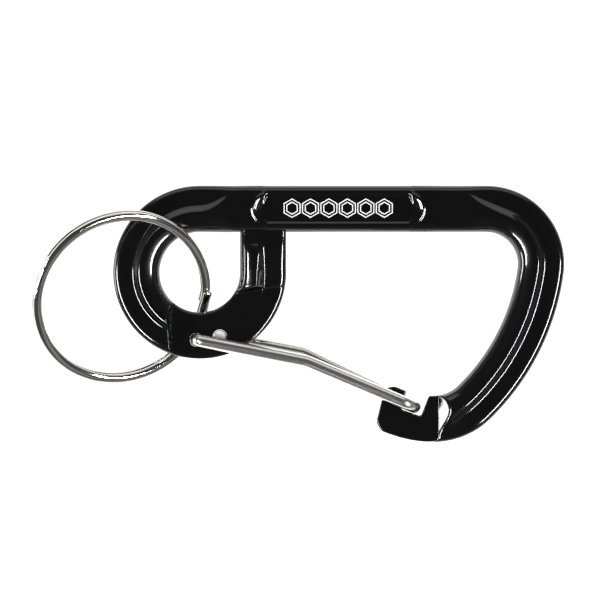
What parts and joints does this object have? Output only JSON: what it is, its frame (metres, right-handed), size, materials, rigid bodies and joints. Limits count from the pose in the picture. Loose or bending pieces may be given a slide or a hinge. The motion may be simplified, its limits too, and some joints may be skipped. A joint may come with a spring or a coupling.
{
  "type": "carabiner keyring",
  "caption": "Flat D-shaped wire-gate carabiner with a closed eye loop at one end that holds a split key ring.",
  "frame": {"origin": "centre of the eye loop's round hole, on the body's middle plane", "axes": "+X along the straight spine from the eye to the bow, +Y from the gate side to the spine, +Z out of the face with the label panel and the gate's front leg"},
  "size_m": [0.0872, 0.0421, 0.0156],
  "materials": {
    "body_black": "gloss black over forged aluminium",
    "gate_wire": "drawn stainless wire, lightly polished",
    "ring_plate": "bright nickel plate",
    "panel_marks": "bare metal lines cut through the black finish"
  },
  "bodies": {
    "carabiner": {"carabiner_body": "body_black"},
    "gate": {"gate_wire_front_leg": "gate_wire"},
    "gate_back": {"gate_wire_back_leg": "gate_wire"},
    "ring": {"split_ring": "ring_plate"}
  },
  "joints": [
    {"name": "gate_swing", "type": "hinge", "parent": "carabiner", "child": "gate", "pos_m": [-0.00059, -0.01107, 0], "axis": [0, 0, 1], "range_deg": [0, 26], "stiffness_Nm_per_rad": 0.05, "springref_deg": -45.84},
    {"name": "gate_back_turn", "type": "hinge", "parent": "gate", "child": "gate_back", "pos_m": [0.0406, -0.01333, 0], "axis": [0, 0, 1], "range_deg": [0, 2.72]},
    {"name": "ring_swing", "type": "hinge", "parent": "carabiner", "child": "ring", "pos_m": [0.00067, -0.00007, 0], "axis": [0.788, 0.6157, 0], "range_deg": [0, 114]}
  ],
  "couplings": [
    {"joint": "gate_back_turn", "follows": "gate_swing", "ratio": 0.1039}
  ]
}
